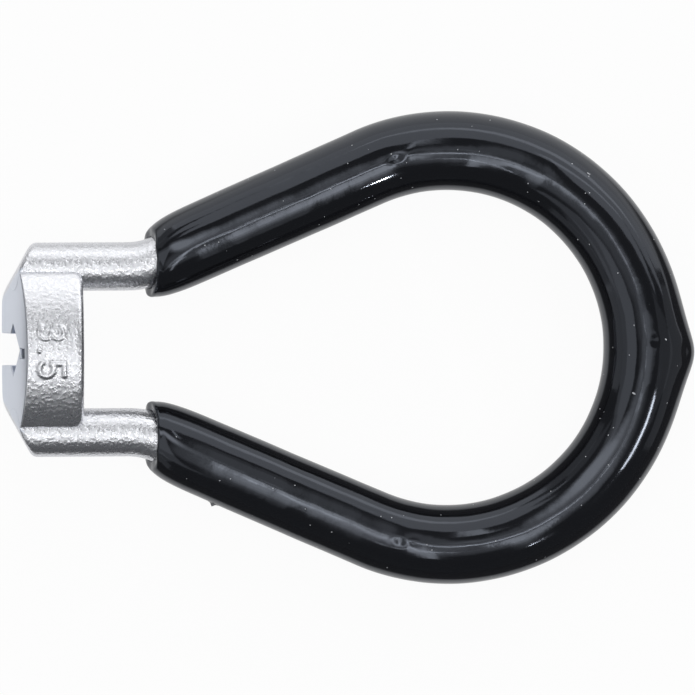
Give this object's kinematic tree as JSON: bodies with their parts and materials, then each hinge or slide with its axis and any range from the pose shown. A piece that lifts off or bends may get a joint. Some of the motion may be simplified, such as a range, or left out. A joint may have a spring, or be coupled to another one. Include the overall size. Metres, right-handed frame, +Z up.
{
  "type": "spoke wrench",
  "caption": "Loop-handled spoke wrench: a bent steel rod carries a tilted jaw block with a square-on-corner nipple pocket, and a dipped vinyl coat makes the finger grip.",
  "frame": {"origin": "centre of the nipple pocket on the ground front face of the jaw", "axes": "+X along the tool from the jaw to the closed end of the loop, +Z up out of the plane of the loop, the loop in the XY plane"},
  "size_m": [0.0661, 0.0454, 0.0096],
  "materials": {
    "plated_steel": "bright plating over a fine cast grain, with the jaw's front face ground smooth",
    "vinyl_coat": "glossy black dipped vinyl"
  },
  "bodies": {
    "root": {"loop_rod": "plated_steel", "jaw_block": "plated_steel", "grip_coat": "vinyl_coat"}
  },
  "joints": []
}
